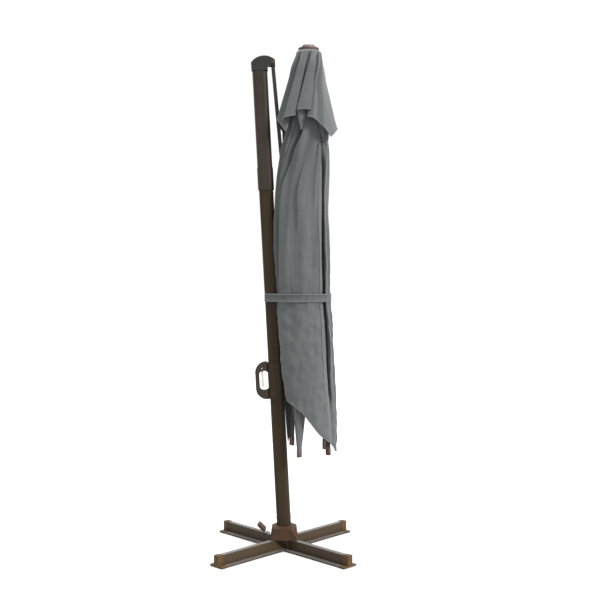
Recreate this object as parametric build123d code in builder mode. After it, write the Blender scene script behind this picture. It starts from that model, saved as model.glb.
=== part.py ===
from build123d import *
import math
import os

# Cantilever parasol, folded and tied to its mast. Millimetres, +Z up.
# The origin is on the floor under the swivel. +X points from the mast to the canopy.

# Cross base
LEG_REACH = 472.0
LEG_ANGLE = 45.0
FLANGE_WIDTH = 88.0
FLANGE_THICK = 6.0
WEB_WIDTH = 28.0
LEG_HEIGHT = 57.0
LEG_WALL = 3.0
CAP_LENGTH = 34.0
CAP_WALL = 2.0
CAP_FIT = 0.1
PLATE_RADIUS = 64.0
PLATE_THICK = 5.0
BASE_BOLT_RING = 54.0
BOLT_RADIUS = 4.0
BOLT_HEAD_RADIUS = 7.0
BOLT_HEAD_HEIGHT = 3.6
NUT_HEIGHT = 6.5

# Swivel
SPIGOT_RADIUS = 13.0
SPIGOT_TOP = 190.0
BUSH_RADIUS = 15.5
BRAKE_RING_THICK = 4.0
SOCKET_FLANGE_RADIUS = 46.0
SOCKET_FLANGE_THICK = 6.0
RUNNING_FIT = 0.05

# Mast
MAST_LEAN = 3.01
MAST_KNEE_Z = 110.0
LOWER_WIDTH, LOWER_DEPTH, LOWER_WALL = 75.0, 52.0, 3.0
UPPER_WIDTH, UPPER_DEPTH, UPPER_WALL = 79.0, 56.0, 5.0
MAST_CORNER = 24.0
MAST_BOTTOM = -34.0
MAST_JOINT = 1836.0
MAST_TOP = 2428.0
COLLAR_BOTTOM, COLLAR_TOP = 1785.0, 1901.0
COLLAR_WALL = 2.5

# Linkage: strut and lower arm are equally long, so the slider stays parallel to the mast
PIVOT_OFFSET = 69.5
CAP_PIVOT_H = 2445.7
SLIDER_PIVOT_H = 784.4
FOLD_ANGLE = 2.28
ARM_LENGTH = 1430.0
PIN_RADIUS = 6.0
STRUT_WIDTH, STRUT_THICK, STRUT_INSIDE = 19.0, 5.0, 16.5
ARM_WIDTH, ARM_DEPTH, ARM_WALL = 40.0, 30.0, 2.5

# Slider and its handle
SLIDER_LENGTH = 192.0
SLIDER_WALL = 4.0
SLIDER_ROOM = 1.5
GRIP_OUTER, GRIP_HEIGHT, GRIP_HALF_DEPTH = 109.0, 200.0, 14.0
GRIP_CORNER = 58.0
GRIP_HOLE_WIDTH, GRIP_HOLE_HEIGHT, GRIP_HOLE_CORNER = 48.0, 100.0, 20.0
GRIP_EDGE = 3.0

# Canopy frame
CANOPY_X = 129.0
POLE_RADIUS, POLE_WALL = 16.0, 2.0
POLE_BOTTOM, POLE_TOP = 1690.0, 2604.0
CROWN_RADIUS, CROWN_BOTTOM, CROWN_TOP = 47.0, 2574.0, 2611.0
RIB_HEAD_RADIUS, RIB_HEAD_Z = 41.0, 2592.0
RIB_THICK, RIB_WIDTH, RIB_WALL = 12.0, 22.0, 1.5
RUNNER_Z, RUNNER_RADIUS = 1740.0, 25.0
STRETCHER_THICK, STRETCHER_WIDTH, STRETCHER_TOP_Z = 6.0, 10.0, 2166.0
STRAP_BOTTOM, STRAP_TOP, STRAP_THICK = 1309.0, 1350.0, 2.5
CLOTH_WALL = 4.0
ARM_CHANNEL = 88.0

os.makedirs("parts", exist_ok=True)


def finish(piece, label):
    """Labels a finished piece and writes its STEP file."""
    piece.label = label
    export_step(piece, f"parts/{label}.step")


def turned(x, y, degrees):
    """The point (x, y) turned about the origin."""
    angle = math.radians(degrees)
    return (x * math.cos(angle) - y * math.sin(angle), x * math.sin(angle) + y * math.cos(angle))


lean = math.radians(MAST_LEAN)
across_mast = (math.cos(lean), 0, math.sin(lean))
along_mast = (-math.sin(lean), 0, math.cos(lean))
mast = Plane(origin=(0, 0, MAST_KNEE_Z), x_dir=across_mast, z_dir=along_mast)
mast_side = Plane(origin=(0, 0, MAST_KNEE_Z), x_dir=across_mast, z_dir=(0, -1, 0))

fold = math.radians(FOLD_ANGLE)
LINK_LENGTH = (CAP_PIVOT_H - SLIDER_PIVOT_H) / 2 / math.cos(fold)
cap_pivot = (PIVOT_OFFSET, CAP_PIVOT_H)
slider_pivot = (PIVOT_OFFSET, SLIDER_PIVOT_H)
elbow = (PIVOT_OFFSET + LINK_LENGTH * math.sin(fold), (CAP_PIVOT_H + SLIDER_PIVOT_H) / 2)
arm_foot_point = mast_side.from_local_coords((slider_pivot[0], slider_pivot[1], 0))
arm_angle = math.radians(FOLD_ANGLE - MAST_LEAN)
along_arm = (math.sin(arm_angle), 0, math.cos(arm_angle))
across_arm = (math.cos(arm_angle), 0, -math.sin(arm_angle))
arm = Plane(origin=arm_foot_point, x_dir=across_arm, z_dir=along_arm)
arm_side = Plane(origin=arm_foot_point, x_dir=across_arm, z_dir=(0, -1, 0))
canopy_pivot = arm.from_local_coords((0, 0, ARM_LENGTH))


def cylinder_across(plane, centre, radius, near, far, bore=0):
    """A cylinder along Y between the distances near and far in front of the plane."""
    with BuildPart() as rod:
        with BuildSketch(plane.offset(near)):
            with Locations(centre):
                Circle(radius)
                if bore:
                    Circle(bore, mode=Mode.SUBTRACT)
        extrude(amount=far - near)
    return rod.part


def oval_tube(plane, low, high, width, depth, corner, wall):
    """A straight tube with a rounded-rectangle section between two heights of a plane."""
    with BuildPart() as tube:
        with BuildSketch(plane.offset(low)):
            RectangleRounded(width, depth, corner)
            RectangleRounded(width - 2 * wall, depth - 2 * wall, corner - wall, mode=Mode.SUBTRACT)
        extrude(amount=high - low)
    return tube.part


# ---------------------------------------------------------------- cross base
def leg_plane(degrees):
    """The plane at the origin whose normal runs out along a leg, with local Y up."""
    dx, dy = turned(1, 0, degrees)
    return Plane(origin=(0, 0, 0), x_dir=(-dy, dx, 0), z_dir=(dx, dy, 0))


def leg(degrees, start, end, bolts):
    """An inverted-T leg with a hollow web, from start to end along its own direction."""
    cavity = LEG_HEIGHT - FLANGE_THICK - LEG_WALL
    with BuildPart() as beam:
        with BuildSketch(leg_plane(degrees).offset(start)):
            with Locations((0, FLANGE_THICK / 2)):
                Rectangle(FLANGE_WIDTH, FLANGE_THICK)
            with Locations((0, LEG_HEIGHT / 2)):
                Rectangle(WEB_WIDTH, LEG_HEIGHT)
            with Locations((0, FLANGE_THICK + cavity / 2)):
                Rectangle(WEB_WIDTH - 2 * LEG_WALL, cavity, mode=Mode.SUBTRACT)
        extrude(amount=end - start)
        with BuildSketch(Plane.XY.offset(LEG_HEIGHT - 2 * LEG_WALL)):
            with Locations(*[turned(along, 0, degrees) for along in bolts]):
                Circle(BOLT_RADIUS + 0.3)
        extrude(amount=3 * LEG_WALL, mode=Mode.SUBTRACT)
    return beam.part


leg_end = LEG_REACH - LEG_WALL - 0.2
half_leg_start = FLANGE_WIDTH / 2 + 0.5
finish(leg(LEG_ANGLE, -leg_end, leg_end, (-BASE_BOLT_RING, BASE_BOLT_RING)), "leg_long")
finish(leg(LEG_ANGLE + 90, half_leg_start, leg_end, (BASE_BOLT_RING,)), "leg_half_rear")
finish(leg(LEG_ANGLE - 90, half_leg_start, leg_end, (BASE_BOLT_RING,)), "leg_half_front")

with BuildPart() as leg_end_caps:
    for quarter in range(4):
        outward = leg_plane(LEG_ANGLE + 90 * quarter)
        with BuildSketch(outward.offset(LEG_REACH - CAP_LENGTH)):
            with Locations((0, (FLANGE_THICK + CAP_WALL) / 2)):
                Rectangle(FLANGE_WIDTH + 2 * CAP_WALL, FLANGE_THICK + CAP_WALL)
            with Locations((0, (LEG_HEIGHT + CAP_WALL) / 2)):
                Rectangle(WEB_WIDTH + 2 * CAP_WALL, LEG_HEIGHT + CAP_WALL)
        extrude(amount=CAP_LENGTH)
        with BuildSketch(outward.offset(LEG_REACH - CAP_LENGTH)):
            with Locations((0, (FLANGE_THICK + CAP_FIT) / 2)):
                Rectangle(FLANGE_WIDTH + 2 * CAP_FIT, FLANGE_THICK + CAP_FIT)
            with Locations((0, (LEG_HEIGHT + CAP_FIT) / 2)):
                Rectangle(WEB_WIDTH + 2 * CAP_FIT, LEG_HEIGHT + CAP_FIT)
        extrude(amount=CAP_LENGTH - LEG_WALL, mode=Mode.SUBTRACT)
finish(leg_end_caps.part, "leg_end_caps")

plate_top = LEG_HEIGHT + PLATE_THICK
with BuildPart() as base_plate:
    with BuildSketch(Plane.XY.offset(LEG_HEIGHT)):
        Circle(PLATE_RADIUS)
        with PolarLocations(BASE_BOLT_RING, 4, start_angle=LEG_ANGLE):
            Circle(BOLT_RADIUS + 0.3, mode=Mode.SUBTRACT)
    extrude(amount=PLATE_THICK)
    with BuildSketch(Plane.XY.offset(plate_top - BOLT_HEAD_HEIGHT - 0.2)):
        with PolarLocations(BASE_BOLT_RING, 4, start_angle=LEG_ANGLE):
            Circle(BOLT_HEAD_RADIUS + 0.3)
    extrude(amount=PLATE_THICK, mode=Mode.SUBTRACT)
finish(base_plate.part, "base_plate")

head_bottom = plate_top - BOLT_HEAD_HEIGHT - 0.2
nut_top = LEG_HEIGHT - LEG_WALL
with BuildPart() as base_bolts:
    with BuildSketch(Plane.XY.offset(head_bottom)):
        with PolarLocations(BASE_BOLT_RING, 4, start_angle=LEG_ANGLE):
            Circle(BOLT_HEAD_RADIUS)
    extrude(amount=BOLT_HEAD_HEIGHT)
    with BuildSketch(Plane.XY.offset(head_bottom)):
        with PolarLocations(BASE_BOLT_RING, 4, start_angle=LEG_ANGLE):
            Circle(BOLT_RADIUS)
    extrude(amount=-(head_bottom - nut_top + NUT_HEIGHT + 2))
# Each bolt carries its nut under the leg's top wall
with BuildPart() as base_nuts:
    with BuildSketch(Plane.XY.offset(nut_top)):
        with PolarLocations(BASE_BOLT_RING, 4, start_angle=LEG_ANGLE):
            RegularPolygon(BOLT_HEAD_RADIUS, 6)
    extrude(amount=-NUT_HEIGHT)
finish(base_bolts.part + base_nuts.part, "base_fasteners")

# ---------------------------------------------------------------- swivel
spigot_foot_radius = 22.0
spigot_foot_top = plate_top + 2
with BuildPart() as swivel_spigot:
    with BuildSketch(Plane.XY.offset(plate_top)):
        Circle(spigot_foot_radius)
    extrude(amount=spigot_foot_top - plate_top)
    with BuildSketch(Plane.XY.offset(spigot_foot_top)):
        Circle(SPIGOT_RADIUS)
    extrude(amount=SPIGOT_TOP - spigot_foot_top)
    chamfer(swivel_spigot.faces().sort_by(Axis.Z)[-1].edges(), 2)
finish(swivel_spigot.part, "swivel_spigot")

with BuildPart() as brake_ring:
    with BuildSketch(Plane.XY.offset(plate_top)):
        Circle(PLATE_RADIUS - 2)
        Circle(spigot_foot_radius + 2, mode=Mode.SUBTRACT)
    extrude(amount=BRAKE_RING_THICK)
finish(brake_ring.part, "brake_ring")

socket_bottom = plate_top + BRAKE_RING_THICK + 1
with BuildPart() as thrust_washer:
    with BuildSketch(Plane.XY.offset(spigot_foot_top)):
        Circle(spigot_foot_radius)
        Circle(SPIGOT_RADIUS + 0.3, mode=Mode.SUBTRACT)
    extrude(amount=socket_bottom - spigot_foot_top - 0.05)
finish(thrust_washer.part, "thrust_washer")

pedal_pivot = (-63.0, 74.0)
lug_near, lug_far = 8.0, 13.0
boss_width = LOWER_WIDTH - 2 * LOWER_WALL - 0.4
boss_depth = LOWER_DEPTH - 2 * LOWER_WALL - 0.4
screw_heights = (28.0, 60.0)
screw_radius = 3.0
screw_depth = 12.0
with BuildPart() as swivel_socket:
    with BuildSketch(mast.offset(socket_bottom - MAST_KNEE_Z + 3)):
        RectangleRounded(boss_width, boss_depth, MAST_CORNER - LOWER_WALL - 0.3)
    extrude(amount=SPIGOT_TOP - 8 - socket_bottom)
    with BuildSketch(Plane.XY.offset(socket_bottom)):
        Circle(SOCKET_FLANGE_RADIUS)
    extrude(amount=SOCKET_FLANGE_THICK)
    for side in (1, -1):
        with BuildSketch(Plane.XZ.offset(side * lug_near)):
            with Locations((pedal_pivot[0] + 9, socket_bottom + 6.5)):
                Rectangle(32, 13)
        extrude(amount=side * (lug_far - lug_near))
    with BuildSketch(Plane.XY.offset(socket_bottom)):
        Circle(BUSH_RADIUS)
    extrude(amount=SPIGOT_TOP, mode=Mode.SUBTRACT)
    with BuildSketch(Plane.XZ.offset(-lug_far)):
        with Locations(pedal_pivot):
            Circle(screw_radius + RUNNING_FIT)
    extrude(amount=2 * lug_far, mode=Mode.SUBTRACT)
    for side in (1, -1):
        with BuildSketch(Plane(mast.origin + side * boss_width / 2 * mast.x_dir, mast.y_dir, mast.x_dir)):
            with Locations(*[(0, height) for height in screw_heights]):
                Circle(screw_radius + RUNNING_FIT)
        extrude(amount=-side * screw_depth, mode=Mode.SUBTRACT)
finish(swivel_socket.part, "swivel_socket")

with BuildPart() as swivel_bushes:
    for low, high in ((socket_bottom, 92.0), (150.0, 176.0)):
        with BuildSketch(Plane.XY.offset(low)):
            Circle(BUSH_RADIUS)
            Circle(SPIGOT_RADIUS + RUNNING_FIT, mode=Mode.SUBTRACT)
        extrude(amount=high - low)
finish(swivel_bushes.part, "swivel_bushes")

# ---------------------------------------------------------------- mast
with BuildPart() as lower_mast:
    with BuildSketch(mast.offset(MAST_BOTTOM)):
        RectangleRounded(LOWER_WIDTH, LOWER_DEPTH, MAST_CORNER)
        RectangleRounded(
            LOWER_WIDTH - 2 * LOWER_WALL,
            LOWER_DEPTH - 2 * LOWER_WALL,
            MAST_CORNER - LOWER_WALL,
            mode=Mode.SUBTRACT,
        )
    extrude(amount=MAST_JOINT - MAST_BOTTOM)
    with BuildSketch(Plane(mast.origin - LOWER_WIDTH * mast.x_dir, mast.y_dir, mast.x_dir)):
        with Locations(*[(0, height) for height in screw_heights]):
            Circle(screw_radius + RUNNING_FIT)
    extrude(amount=2 * LOWER_WIDTH, mode=Mode.SUBTRACT)
finish(lower_mast.part, "lower_mast")

finish(
    oval_tube(mast, MAST_JOINT + 0.5, MAST_TOP, UPPER_WIDTH, UPPER_DEPTH, MAST_CORNER + 2, UPPER_WALL),
    "upper_mast",
)
sleeve_reach = 100.0
finish(
    oval_tube(
        mast,
        MAST_JOINT - sleeve_reach,
        MAST_JOINT + sleeve_reach,
        boss_width,
        boss_depth,
        MAST_CORNER - LOWER_WALL - 0.3,
        LOWER_WALL,
    ),
    "mast_inner_sleeve",
)

with BuildPart() as mast_collar:
    with BuildSketch(mast.offset(COLLAR_BOTTOM)):
        RectangleRounded(UPPER_WIDTH + 2 * COLLAR_WALL, UPPER_DEPTH + 2 * COLLAR_WALL, MAST_CORNER + 4)
    extrude(amount=COLLAR_TOP - COLLAR_BOTTOM)
    with BuildSketch(mast.offset(COLLAR_BOTTOM)):
        RectangleRounded(LOWER_WIDTH + 0.2, LOWER_DEPTH + 0.2, MAST_CORNER + 0.1)
    extrude(amount=MAST_JOINT - COLLAR_BOTTOM, mode=Mode.SUBTRACT)
    with BuildSketch(mast.offset(MAST_JOINT)):
        RectangleRounded(UPPER_WIDTH + 0.2, UPPER_DEPTH + 0.2, MAST_CORNER + 2.1)
    extrude(amount=COLLAR_TOP - MAST_JOINT, mode=Mode.SUBTRACT)

finish(mast_collar.part, "mast_collar")

# Screws hold the mast to the swivel socket
with BuildPart() as mast_screws:
    for side in (1, -1):
        mast_face = Plane(mast.origin + side * LOWER_WIDTH / 2 * mast.x_dir, mast.y_dir, mast.x_dir)
        with BuildSketch(mast_face):
            with Locations(*[(0, height) for height in screw_heights]):
                Circle(screw_radius)
        extrude(amount=-side * (screw_depth - 1))
        with BuildSketch(mast_face):
            with Locations(*[(0, height) for height in screw_heights]):
                Circle(2 * screw_radius)
        extrude(amount=side * 2)
finish(mast_screws.part, "mast_screws")

# ---------------------------------------------------------------- base cover
cover_bottom, cover_shoulder, cover_top = LEG_HEIGHT + 1.5, 116.0, 124.0
cover_wall = 3.0
cover_rings = (
    (cover_bottom, 72.0, 72.0, 3.0, 0.0),
    (cover_shoulder, 65.0, 65.0, 26.0, 0.0),
    (cover_top, 51.0, 42.0, 17.0, -1.0),
)


def octagon(half_x, half_y, corner, centre_x):
    """The corners of a rectangle with cut corners, as (x, y) pairs."""
    quarter = [(half_x, half_y - corner), (half_x - corner, half_y)]
    top = quarter + [(-x, y) for x, y in reversed(quarter)]
    return [(x + centre_x, y) for x, y in top + [(-x, -y) for x, y in top]]


def cover_body(inset):
    """The cover's outer form, or its inner form where inset is the wall."""
    bodies = []
    for (low, *below), (high, *above) in zip(cover_rings, cover_rings[1:]):
        with BuildPart() as frustum:
            for height, (half_x, half_y, corner, centre_x) in ((low, below), (high, above)):
                with BuildSketch(Plane.XY.offset(height - (inset if height == cover_top else 0))):
                    Polygon(*octagon(half_x - inset, half_y - inset, corner, centre_x), align=None)
            loft(ruled=True)
        bodies.append(frustum.part)
    return bodies[0] + bodies[1]


with BuildPart() as base_cover:
    add(cover_body(0))
    add(cover_body(cover_wall), mode=Mode.SUBTRACT)
    with BuildSketch(mast.offset(0)):
        RectangleRounded(LOWER_WIDTH + 2, LOWER_DEPTH + 2, MAST_CORNER + 1)
    extrude(amount=LOWER_WIDTH, mode=Mode.SUBTRACT)
    with BuildSketch(Plane.YZ.offset(-80)):
        with Locations((0, cover_bottom)):
            Rectangle(32, 52)
    extrude(amount=40, mode=Mode.SUBTRACT)
finish(base_cover.part, "base_cover")

# ---------------------------------------------------------------- foot pedal
pedal_tube_radius = 6.0
pedal_knee = (pedal_pivot[0] - 15, pedal_pivot[1])
pedal_end = (pedal_knee[0] - 30, pedal_knee[1] + 30)
shoe_x = (-56.0, -49.0)
with BuildPart() as pedal_arm:
    with BuildLine(Plane.XZ) as pedal_path:
        FilletPolyline(pedal_pivot, pedal_knee, pedal_end, radius=10)
    with BuildSketch(Plane(origin=pedal_path.line @ 0, z_dir=pedal_path.line % 0)):
        Circle(pedal_tube_radius)
    sweep()
    with BuildSketch(Plane.XZ.offset(-lug_near + 0.5)):
        with Locations(pedal_pivot):
            Circle(pedal_tube_radius + 0.5)
        with Locations(((pedal_pivot[0] + shoe_x[1]) / 2, pedal_pivot[1] - 1)):
            Rectangle(shoe_x[1] - pedal_pivot[0], 7)
    extrude(amount=2 * (lug_near - 0.5))
    with BuildSketch(Plane.XZ.offset(-lug_far)):
        with Locations(pedal_pivot):
            Circle(screw_radius + RUNNING_FIT)
    extrude(amount=2 * lug_far, mode=Mode.SUBTRACT)
finish(pedal_arm.part, "pedal_arm")

finish(cylinder_across(Plane.XZ, pedal_pivot, screw_radius, -lug_far - 1, lug_far + 1), "pedal_pin")

with BuildPart() as brake_shoe:
    with BuildSketch(Plane.XY.offset(plate_top + BRAKE_RING_THICK + 0.3)):
        with Locations(((shoe_x[0] + shoe_x[1]) / 2, 0)):
            Rectangle(shoe_x[1] - shoe_x[0], 13)
    extrude(amount=2.9)
finish(brake_shoe.part, "brake_shoe")

pad_slope = Plane(
    origin=(pedal_knee[0] - 40, 0, pedal_knee[1] + 40),
    x_dir=(-math.sqrt(0.5), 0, math.sqrt(0.5)),
    z_dir=(math.sqrt(0.5), 0, math.sqrt(0.5)),
)
with BuildPart() as pedal_pad:
    with BuildSketch(pad_slope.offset(-9)):
        RectangleRounded(50, 58, 6)
    extrude(amount=18)
    chamfer(pedal_pad.faces().sort_by(Axis((0, 0, 0), tuple(pad_slope.z_dir)))[-1].edges(), 2.5)
    with BuildSketch(pad_slope.offset(7)):
        with GridLocations(8, 0, 5, 1):
            Rectangle(2, 46)
    extrude(amount=4, mode=Mode.SUBTRACT)
    tube_axis = Plane(origin=(pedal_end[0], 0, pedal_end[1]), z_dir=pedal_path.line % 1)
    with BuildSketch(tube_axis.offset(0.3)):
        Circle(pedal_tube_radius + RUNNING_FIT)
    extrude(amount=-40, mode=Mode.SUBTRACT)
finish(pedal_pad.part, "pedal_pad")

# ---------------------------------------------------------------- mast cap
cap_half_depth = 31.0
cheek_inside = STRUT_INSIDE + STRUT_THICK + 1.5
cap_left, cap_right = -42.5, 82.0
with BuildPart() as mast_cap:
    with BuildSketch(mast_side.offset(-cap_half_depth)):
        with BuildLine():
            left_edge = Line((cap_left, MAST_TOP - 20), (cap_left, MAST_TOP + 22))
            crown_arc = ThreePointArc(left_edge @ 1, (16, MAST_TOP + 54), (cap_right, MAST_TOP + 31))
            Polyline(
                crown_arc @ 1,
                (cap_right, MAST_TOP + 2),
                (-cap_left, MAST_TOP + 2),
                (-cap_left, MAST_TOP - 20),
                left_edge @ 0,
            )
        make_face()
    extrude(amount=2 * cap_half_depth)
    fillet(mast_cap.edges().filter_by(GeomType.CIRCLE), 5)
    with BuildSketch(mast.offset(MAST_TOP - 30)):
        RectangleRounded(UPPER_WIDTH + 0.3, UPPER_DEPTH + 0.3, MAST_CORNER + 2.1)
    extrude(amount=30.5, mode=Mode.SUBTRACT)
    with BuildSketch(mast_side.offset(-cheek_inside)):
        with Locations((cap_right - 6.5, CAP_PIVOT_H - 4)):
            Rectangle(54, 28)
    extrude(amount=2 * cheek_inside, mode=Mode.SUBTRACT)
    with BuildSketch(mast_side.offset(-cap_half_depth)):
        with Locations(cap_pivot):
            Circle(PIN_RADIUS + RUNNING_FIT)
    extrude(amount=2 * cap_half_depth, mode=Mode.SUBTRACT)
finish(mast_cap.part, "mast_cap")


def pivot_bolt(plane, centre, half_depth):
    """A pivot bolt along Y with a domed head at each end."""
    with BuildPart() as bolt:
        with BuildSketch(plane.offset(-half_depth - 4)):
            with Locations(centre):
                Circle(PIN_RADIUS)
        extrude(amount=2 * half_depth + 8)
        for side in (1, -1):
            with BuildSketch(plane.offset(side * (half_depth + 0.1))):
                with Locations(centre):
                    Circle(PIN_RADIUS + 3)
            extrude(amount=side * 4)
    return bolt.part


finish(pivot_bolt(mast_side, cap_pivot, cap_half_depth), "cap_pivot_bolt")
spacer_radius = 9.0
finish(
    cylinder_across(
        mast_side, cap_pivot, spacer_radius, 0.5 - STRUT_INSIDE, STRUT_INSIDE - 0.5, PIN_RADIUS + RUNNING_FIT
    ),
    "cap_spacer",
)

# ---------------------------------------------------------------- strut
def strut_bar(side):
    """One flat bar of the strut, from the cap pivot to the elbow."""
    middle = ((cap_pivot[0] + elbow[0]) / 2, (cap_pivot[1] + elbow[1]) / 2)
    with BuildPart() as bar:
        with BuildSketch(mast_side.offset(side * STRUT_INSIDE)):
            with Locations(middle):
                SlotCenterToCenter(LINK_LENGTH, STRUT_WIDTH, rotation=90 + FOLD_ANGLE)
            with Locations(cap_pivot, elbow):
                Circle(PIN_RADIUS + RUNNING_FIT, mode=Mode.SUBTRACT)
        extrude(amount=side * STRUT_THICK)
    return bar.part


finish(strut_bar(1), "strut_front")
finish(strut_bar(-1), "strut_rear")
finish(pivot_bolt(mast_side, elbow, STRUT_INSIDE + STRUT_THICK), "elbow_bolt")
with BuildPart() as elbow_washers:
    for side in (1, -1):
        with BuildSketch(mast_side.offset(side * (ARM_DEPTH / 2 + 0.3))):
            with Locations(elbow):
                Circle(PIN_RADIUS + 5)
                Circle(PIN_RADIUS + RUNNING_FIT, mode=Mode.SUBTRACT)
        extrude(amount=side * (STRUT_INSIDE - ARM_DEPTH / 2 - 0.4))
finish(elbow_washers.part, "elbow_washers")

# ---------------------------------------------------------------- arm
arm_end_gap = 42.0
bush_wall = 3.0
with BuildPart() as arm_tube:
    with BuildSketch(arm.offset(arm_end_gap)):
        RectangleRounded(ARM_WIDTH, ARM_DEPTH, 8)
        RectangleRounded(ARM_WIDTH - 2 * ARM_WALL, ARM_DEPTH - 2 * ARM_WALL, 5.5, mode=Mode.SUBTRACT)
    extrude(amount=ARM_LENGTH - 2 * arm_end_gap)
    with BuildSketch(arm_side.offset(-ARM_DEPTH)):
        with Locations((0, LINK_LENGTH)):
            Circle(PIN_RADIUS + bush_wall)
    extrude(amount=2 * ARM_DEPTH, mode=Mode.SUBTRACT)
finish(arm_tube.part, "arm_tube")
finish(
    cylinder_across(
        arm_side,
        (0, LINK_LENGTH),
        PIN_RADIUS + bush_wall,
        -ARM_DEPTH / 2,
        ARM_DEPTH / 2,
        PIN_RADIUS + RUNNING_FIT,
    ),
    "elbow_bush",
)

knuckle_radius, knuckle_half_depth = 14.0, 14.0


def arm_knuckle(at_length, inward):
    """An end fitting: an eye at the pivot and a plug inside the arm tube."""
    with BuildPart() as knuckle:
        with BuildSketch(arm_side.offset(-knuckle_half_depth)):
            with Locations((0, at_length)):
                Circle(knuckle_radius)
            with Locations((0, at_length + inward * arm_end_gap / 2)):
                Rectangle(2 * knuckle_radius, arm_end_gap)
        extrude(amount=2 * knuckle_half_depth)
        with BuildSketch(arm.offset(at_length + inward * arm_end_gap)):
            RectangleRounded(ARM_WIDTH - 2 * ARM_WALL - 0.2, ARM_DEPTH - 2 * ARM_WALL - 0.2, 5.4)
        extrude(amount=inward * 45)
        with BuildSketch(arm_side.offset(-knuckle_half_depth)):
            with Locations((0, at_length)):
                Circle(PIN_RADIUS + RUNNING_FIT)
        extrude(amount=2 * knuckle_half_depth, mode=Mode.SUBTRACT)
    return knuckle.part


finish(arm_knuckle(0, 1), "arm_foot")
finish(arm_knuckle(ARM_LENGTH, -1), "arm_head")

# ---------------------------------------------------------------- slider
slider_low = SLIDER_PIVOT_H - SLIDER_LENGTH / 2
slider_inner = (LOWER_WIDTH + 2 * SLIDER_ROOM, LOWER_DEPTH + 2 * SLIDER_ROOM, MAST_CORNER + SLIDER_ROOM)
slider_outer = [size + 2 * SLIDER_WALL for size in slider_inner[:2]] + [slider_inner[2] + SLIDER_WALL]
lug_inside, lug_thick, lug_radius = knuckle_half_depth + 1.5, 7.0, 15.0
with BuildPart() as slider_body:
    with BuildSketch(mast.offset(slider_low)):
        RectangleRounded(*slider_outer)
    extrude(amount=SLIDER_LENGTH)
    for side in (1, -1):
        with BuildSketch(mast_side.offset(side * lug_inside)):
            with Locations(slider_pivot):
                Circle(lug_radius)
            with Locations(((slider_pivot[0] + 30) / 2, slider_pivot[1])):
                Rectangle(slider_pivot[0] - 30, 2 * lug_radius)
        extrude(amount=side * lug_thick)
    with BuildSketch(mast.offset(slider_low)):
        RectangleRounded(*slider_inner)
    extrude(amount=SLIDER_LENGTH, mode=Mode.SUBTRACT)
    with BuildSketch(mast_side.offset(-LOWER_DEPTH)):
        with Locations(slider_pivot):
            Circle(PIN_RADIUS + RUNNING_FIT)
    extrude(amount=2 * LOWER_DEPTH, mode=Mode.SUBTRACT)
finish(slider_body.part, "slider_body")
finish(pivot_bolt(mast_side, slider_pivot, lug_inside + lug_thick), "slider_bolt")

guide_height, guide_gap = 26.0, 0.35
with BuildPart() as slider_guides:
    for low in (slider_low + 2, slider_low + SLIDER_LENGTH - guide_height - 2):
        with BuildSketch(mast.offset(low)):
            RectangleRounded(*[size - 0.1 for size in slider_inner])
            RectangleRounded(
                LOWER_WIDTH + 2 * guide_gap,
                LOWER_DEPTH + 2 * guide_gap,
                MAST_CORNER + guide_gap,
                mode=Mode.SUBTRACT,
            )
        extrude(amount=guide_height)
finish(slider_guides.part, "slider_guides")

grip_inner = -slider_outer[0] / 2 - 0.05
grip_low = SLIDER_PIVOT_H - GRIP_HEIGHT / 2 + 2
grip_middle = grip_low + GRIP_HEIGHT / 2
hole_middle = grip_inner - GRIP_HOLE_WIDTH / 2 + 3
lever_pivot = (hole_middle - 8, grip_middle + GRIP_HOLE_HEIGHT / 2 + 14)
lever_half_depth = 8.0
grip_screws = ((grip_inner - 14, grip_low + 30), (grip_inner - 22, grip_low + GRIP_HEIGHT - 24))


def grip_shell(side):
    """One half of the D-shaped handle, split on the mast's middle plane."""
    width = grip_inner + GRIP_OUTER
    with BuildPart() as shell:
        with BuildSketch(mast_side):
            with Locations((grip_inner, grip_middle)):
                RectangleRounded(2 * width, GRIP_HEIGHT, GRIP_CORNER)
            with Locations((grip_inner + width, grip_middle)):
                Rectangle(2 * width, GRIP_HEIGHT, mode=Mode.SUBTRACT)
            with Locations((hole_middle, grip_middle)):
                RectangleRounded(GRIP_HOLE_WIDTH, GRIP_HOLE_HEIGHT, GRIP_HOLE_CORNER, mode=Mode.SUBTRACT)
        extrude(amount=side * GRIP_HALF_DEPTH)
        fillet(shell.faces().sort_by(Axis.Y)[0 if side > 0 else -1].edges(), GRIP_EDGE)
        with BuildSketch(mast_side):
            with Locations((lever_pivot[0], lever_pivot[1] - 12)):
                Rectangle(26, 54)
        extrude(amount=side * (lever_half_depth + 0.6), mode=Mode.SUBTRACT)
        with BuildSketch(mast_side):
            with Locations(lever_pivot):
                Circle(screw_radius + RUNNING_FIT)
            with Locations(*grip_screws):
                Circle(screw_radius + RUNNING_FIT)
        extrude(amount=side * GRIP_HALF_DEPTH, mode=Mode.SUBTRACT)
    return shell.part


finish(grip_shell(1), "grip_front_shell")
finish(grip_shell(-1), "grip_rear_shell")

with BuildPart() as grip_fasteners:
    for spot in grip_screws:
        with BuildSketch(mast_side.offset(-GRIP_HALF_DEPTH)):
            with Locations(spot):
                Circle(screw_radius)
        extrude(amount=2 * GRIP_HALF_DEPTH)
        for side in (1, -1):
            with BuildSketch(mast_side.offset(side * GRIP_HALF_DEPTH)):
                with Locations(spot):
                    Circle(2 * screw_radius)
            extrude(amount=side * 2)
finish(grip_fasteners.part, "grip_fasteners")

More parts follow.
